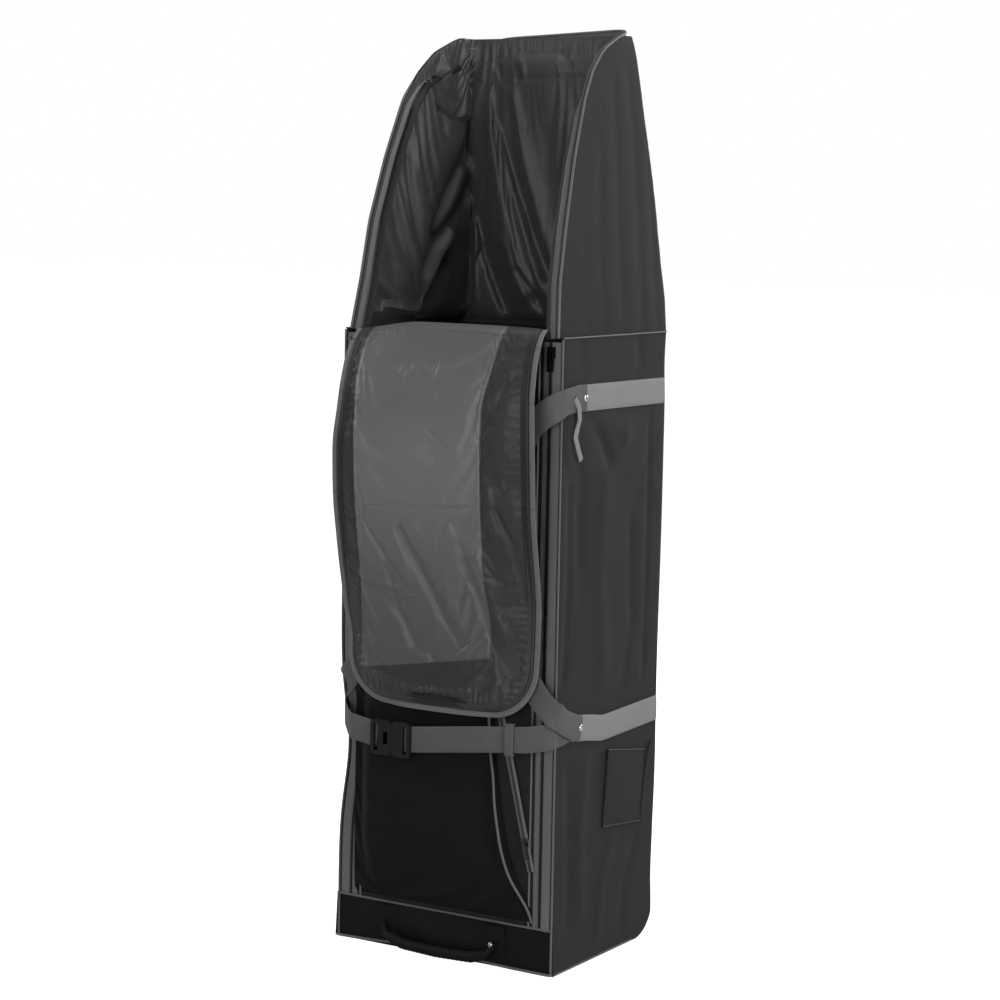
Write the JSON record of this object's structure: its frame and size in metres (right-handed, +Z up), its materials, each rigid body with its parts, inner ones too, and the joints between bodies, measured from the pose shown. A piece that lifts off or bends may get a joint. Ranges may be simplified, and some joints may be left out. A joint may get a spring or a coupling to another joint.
{
  "type": "golf travel case",
  "caption": "Upright wheeled travel case for golf clubs, with an open padded hood, a folding flap, a front pocket, a buckled strap and webbing handles.",
  "frame": {"origin": "on the floor, under the middle of the box", "axes": "+Z up, +X towards the side that carries the tag pocket, -Y towards the opening"},
  "size_m": [0.3936, 0.3579, 1.3435],
  "materials": {
    "shell_fabric": "woven",
    "base_fabric": "coated",
    "lining": "satin",
    "webbing": "ribbed",
    "dark_webbing": "ribbed",
    "zip_tape": "ribbed",
    "zip_coil": "moulded",
    "piping": "ribbed",
    "moulded": "grained",
    "board": "sheet",
    "tyre": "satin",
    "hub": "moulded",
    "steel": "plated",
    "rivet_metal": "polished",
    "slider_metal": "lacquered"
  },
  "bodies": {
    "case": {"base_tray": "base_fabric", "kick_panel": "base_fabric", "base_board": "board", "rear_kick_plate": "moulded", "skid_feet": "moulded", "wheel_housing_left": "moulded", "wheel_housing_right": "moulded", "buckle_socket": "moulded", "side_panel_left": "shell_fabric", "side_panel_right": "shell_fabric", "back_panel": "shell_fabric", "front_lid": "shell_fabric", "hood_side_left": "shell_fabric", "hood_side_right": "shell_fabric", "hood_back": "shell_fabric", "hood_crown": "shell_fabric", "shoe_pocket": "shell_fabric", "tag_pocket": "shell_fabric", "hood_lining_left": "lining", "hood_lining_right": "lining", "hood_lining_back": "lining", "upper_strap_left": "webbing", "upper_strap_right": "webbing", "lower_strap_left": "webbing", "lower_strap_right": "webbing", "front_strap_left": "webbing", "front_strap_right": "webbing", "handle_patches": "dark_webbing", "tow_patch": "dark_webbing", "zip_band_left": "zip_tape", "zip_band_right": "zip_tape", "pocket_zip": "zip_tape", "zip_coils": "zip_coil", "corner_piping": "piping", "waist_piping": "piping", "axle_bolts": "steel", "plate_screws": "steel", "rivets": "rivet_metal"},
    "flap_fold": {"flap_fold": "lining"},
    "flap_upper": {"flap_upper": "lining"},
    "flap_middle": {"flap_middle": "lining"},
    "flap_lower": {"flap_lower": "lining"},
    "flap_end": {"flap_end": "lining"},
    "wheel_left": {"wheel_left": "tyre", "hub_left": "hub", "bearings_left": "steel"},
    "wheel_right": {"wheel_right": "tyre", "hub_right": "hub", "bearings_right": "steel"},
    "slider_left": {"slider_left": "slider_metal"},
    "slider_right": {"slider_right": "slider_metal"},
    "pull_left": {"pull_left": "slider_metal"},
    "pull_right": {"pull_right": "slider_metal"},
    "pocket_slider": {"pocket_slider": "slider_metal"},
    "buckle_plug": {"buckle_plug": "moulded"},
    "strap_keeper": {"strap_keeper": "dark_webbing"},
    "carry_handle_left": {"carry_handle_left": "dark_webbing"},
    "carry_handle_right": {"carry_handle_right": "dark_webbing"},
    "base_handle": {"base_handle": "dark_webbing"},
    "tow_handle": {"tow_handle": "dark_webbing"}
  },
  "joints": [
    {"name": "flap_fold_hinge", "type": "hinge", "parent": "case", "child": "flap_fold", "pos_m": [0, -0.154, 0.914], "axis": [-1, 0, 0], "range_deg": [0, 152.8]},
    {"name": "flap_bend_1", "type": "hinge", "parent": "flap_fold", "child": "flap_upper", "pos_m": [0, -0.18012, 0.87984], "axis": [-1, 0, 0], "range_deg": [-0.1, 29.2]},
    {"name": "flap_bend_2", "type": "hinge", "parent": "flap_upper", "child": "flap_middle", "pos_m": [0, -0.19715, 0.76308], "axis": [-1, 0, 0], "range_deg": [-0.1, 20.9]},
    {"name": "flap_bend_3", "type": "hinge", "parent": "flap_middle", "child": "flap_lower", "pos_m": [0, -0.1772, 0.59324], "axis": [-1, 0, 0], "range_deg": [-0.1, 18.95]},
    {"name": "flap_bend_4", "type": "hinge", "parent": "flap_lower", "child": "flap_end", "pos_m": [0, -0.17405, 0.48029], "axis": [-1, 0, 0], "range_deg": [-0.1, 32.7]},
    {"name": "wheel_left_spin", "type": "hinge", "parent": "case", "child": "wheel_left", "pos_m": [-0.15, 0.126, 0.034], "axis": [1, 0, 0], "continuous": true},
    {"name": "slider_left_slide", "type": "slide", "parent": "case", "child": "slider_left", "axis": [0, 0, -1], "range_m": [0, 0.79]},
    {"name": "pull_left_swing", "type": "hinge", "parent": "slider_left", "child": "pull_left", "pos_m": [-0.167, -0.1543, 0.896], "axis": [-1, 0, 0], "range_deg": [0, 85]},
    {"name": "carry_handle_left_swing", "type": "hinge", "parent": "case", "child": "carry_handle_left", "pos_m": [-0.186, -0.099, 0.59], "axis": [0, 0, -1], "range_deg": [0, 4]},
    {"name": "wheel_right_spin", "type": "hinge", "parent": "case", "child": "wheel_right", "pos_m": [0.15, 0.126, 0.034], "axis": [1, 0, 0], "continuous": true},
    {"name": "slider_right_slide", "type": "slide", "parent": "case", "child": "slider_right", "axis": [0, 0, -1], "range_m": [0, 0.79]},
    {"name": "pull_right_swing", "type": "hinge", "parent": "slider_right", "child": "pull_right", "pos_m": [0.167, -0.1543, 0.896], "axis": [-1, 0, 0], "range_deg": [0, 85]},
    {"name": "carry_handle_right_swing", "type": "hinge", "parent": "case", "child": "carry_handle_right", "pos_m": [0.186, -0.099, 0.59], "axis": [0, 0, 1], "range_deg": [0, 4]},
    {"name": "pocket_slider_slide", "type": "slide", "parent": "case", "child": "pocket_slider", "axis": [-0.2181, 0, 0.9759], "range_m": [0, 0.1]},
    {"name": "buckle_release", "type": "slide", "parent": "case", "child": "buckle_plug", "axis": [1, 0, 0], "range_m": [0, 0.03]},
    {"name": "keeper_slide", "type": "slide", "parent": "case", "child": "strap_keeper", "axis": [-0.9763, -0.1802, -0.1201], "range_m": [0, 0.02]},
    {"name": "base_handle_swing", "type": "hinge", "parent": "case", "child": "base_handle", "pos_m": [0, -0.154, 0.038], "axis": [-1, 0, 0], "range_deg": [0, 95]},
    {"name": "tow_handle_swing", "type": "hinge", "parent": "case", "child": "tow_handle", "pos_m": [0, 0.112, 1.27], "axis": [1, 0, 0], "range_deg": [0, 100]}
  ],
  "couplings": [
    {"joint": "flap_bend_1", "follows": "flap_fold_hinge", "ratio": 0.19045},
    {"joint": "flap_bend_2", "follows": "flap_fold_hinge", "ratio": 0.13613},
    {"joint": "flap_bend_3", "follows": "flap_fold_hinge", "ratio": 0.12336},
    {"joint": "flap_bend_4", "follows": "flap_fold_hinge", "ratio": 0.21335}
  ]
}
